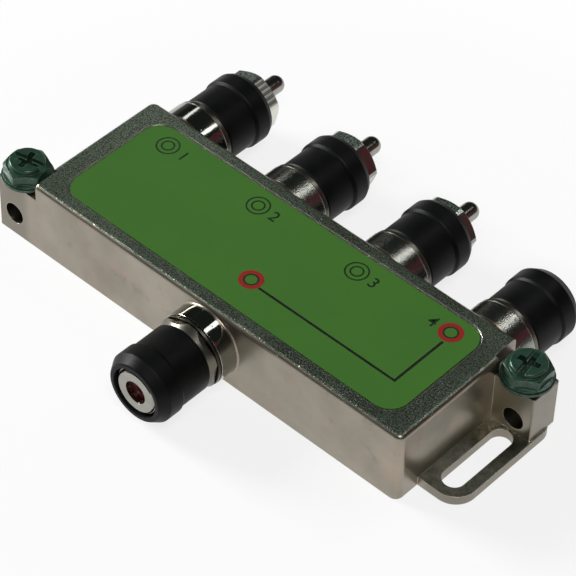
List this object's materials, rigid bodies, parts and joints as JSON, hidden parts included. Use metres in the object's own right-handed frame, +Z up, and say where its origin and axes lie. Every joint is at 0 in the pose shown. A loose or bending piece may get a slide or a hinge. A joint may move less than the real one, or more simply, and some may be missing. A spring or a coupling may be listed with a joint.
{
  "type": "coaxial splitter",
  "caption": "Long low die-cast signal splitter with threaded coaxial ports in rubber boots, screwed terminators, a ground clamp block and a slotted ear at each end.",
  "frame": {"origin": "centre of the case's flat underside", "axes": "+X along the case, -Y towards the single input port, +Y towards the row of output ports, +Z up through the label"},
  "size_m": [0.1086, 0.0781, 0.0168],
  "materials": {
    "nickel_casting": "satin nickel plating on a zinc casting",
    "nickel_sheet": "plain plated sheet",
    "nickel_turning": "bright nickel plating on turned brass",
    "green_label": "printed film with a dull sheen",
    "board": "glass-fibre board with solder mask",
    "red_insulator": "smooth moulded plastic",
    "contact_brass": "plain spring brass",
    "black_rubber": "satin moulded rubber",
    "green_steel": "glossy dark green coating on steel",
    "resistor_body": "lacquered body",
    "ferrite": "plain sintered ferrite",
    "copper_winding": "enamelled wire, wound close",
    "ceramic": "dipped ceramic disc"
  },
  "bodies": {
    "case": {"housing": "nickel_casting", "bottom_cover": "nickel_sheet", "circuit_board": "board", "label": "green_label", "port_body_input": "nickel_turning", "port_insulator_input": "red_insulator", "port_contact_input": "contact_brass", "boot_input": "black_rubber", "port_body_output_1": "nickel_turning", "port_insulator_output_1": "red_insulator", "port_contact_output_1": "contact_brass", "boot_output_1": "black_rubber", "port_body_output_2": "nickel_turning", "port_insulator_output_2": "red_insulator", "port_contact_output_2": "contact_brass", "boot_output_2": "black_rubber", "port_body_output_3": "nickel_turning", "port_insulator_output_3": "red_insulator", "port_contact_output_3": "contact_brass", "boot_output_3": "black_rubber", "port_body_output_4": "nickel_turning", "port_insulator_output_4": "red_insulator", "port_contact_output_4": "contact_brass", "boot_output_4": "black_rubber", "transformer_1": "ferrite", "transformer_2": "ferrite", "transformer_3": "ferrite", "transformer_4": "ferrite", "power_choke": "copper_winding", "capacitor_1": "ceramic", "capacitor_2": "ceramic", "capacitor_3": "ceramic"},
    "terminator_1": {"terminator_core_1": "nickel_turning", "terminator_resistor_1": "resistor_body"},
    "terminator_1_nut": {"terminator_nut_1": "nickel_turning"},
    "terminator_2": {"terminator_core_2": "nickel_turning", "terminator_resistor_2": "resistor_body"},
    "terminator_2_nut": {"terminator_nut_2": "nickel_turning"},
    "terminator_3": {"terminator_core_3": "nickel_turning", "terminator_resistor_3": "resistor_body"},
    "terminator_3_nut": {"terminator_nut_3": "nickel_turning"},
    "washer_right": {"screw_washer_right": "green_steel"},
    "screw_right": {"ground_screw_right": "green_steel"},
    "washer_left": {"screw_washer_left": "green_steel"},
    "screw_left": {"ground_screw_left": "green_steel"}
  },
  "joints": [
    {"name": "terminator_1_travel", "type": "slide", "parent": "case", "child": "terminator_1", "axis": [0, 1, 0], "range_m": [-0.00074, 0.00809]},
    {"name": "terminator_1_turn", "type": "hinge", "parent": "terminator_1", "child": "terminator_1_nut", "pos_m": [-0.0375, 0.0368, 0.008], "axis": [0, 1, 0], "range_deg": [-324, 3636]},
    {"name": "terminator_2_travel", "type": "slide", "parent": "case", "child": "terminator_2", "axis": [0, 1, 0], "range_m": [-0.00074, 0.00809]},
    {"name": "terminator_2_turn", "type": "hinge", "parent": "terminator_2", "child": "terminator_2_nut", "pos_m": [-0.0125, 0.0368, 0.008], "axis": [0, 1, 0], "range_deg": [-324, 3636]},
    {"name": "terminator_3_travel", "type": "slide", "parent": "case", "child": "terminator_3", "axis": [0, 1, 0], "range_m": [0, 0.0088]},
    {"name": "terminator_3_turn", "type": "hinge", "parent": "terminator_3", "child": "terminator_3_nut", "pos_m": [0.0125, 0.0368, 0.008], "axis": [0, 1, 0], "range_deg": [0, 3960]},
    {"name": "ground_screw_right_travel", "type": "slide", "parent": "case", "child": "washer_right", "axis": [0, 0, 1], "range_m": [-0.00035, 0.0045]},
    {"name": "ground_screw_right_turn", "type": "hinge", "parent": "washer_right", "child": "screw_right", "pos_m": [0.0494, 0.01255, 0.0135], "axis": [0, 0, 1], "range_deg": [-150, 1980]},
    {"name": "ground_screw_left_travel", "type": "slide", "parent": "case", "child": "washer_left", "axis": [0, 0, 1], "range_m": [-0.00035, 0.0045]},
    {"name": "ground_screw_left_turn", "type": "hinge", "parent": "washer_left", "child": "screw_left", "pos_m": [-0.0494, -0.01255, 0.0135], "axis": [0, 0, 1], "range_deg": [-150, 1980]}
  ],
  "couplings": [
    {"joint": "terminator_1_travel", "follows": "terminator_1_turn", "m_per_rad": 0.00012633},
    {"joint": "terminator_2_travel", "follows": "terminator_2_turn", "m_per_rad": 0.00012633},
    {"joint": "terminator_3_travel", "follows": "terminator_3_turn", "m_per_rad": 0.00012633},
    {"joint": "ground_screw_right_travel", "follows": "ground_screw_right_turn", "m_per_rad": 0.00012633},
    {"joint": "ground_screw_left_travel", "follows": "ground_screw_left_turn", "m_per_rad": 0.00012633}
  ]
}
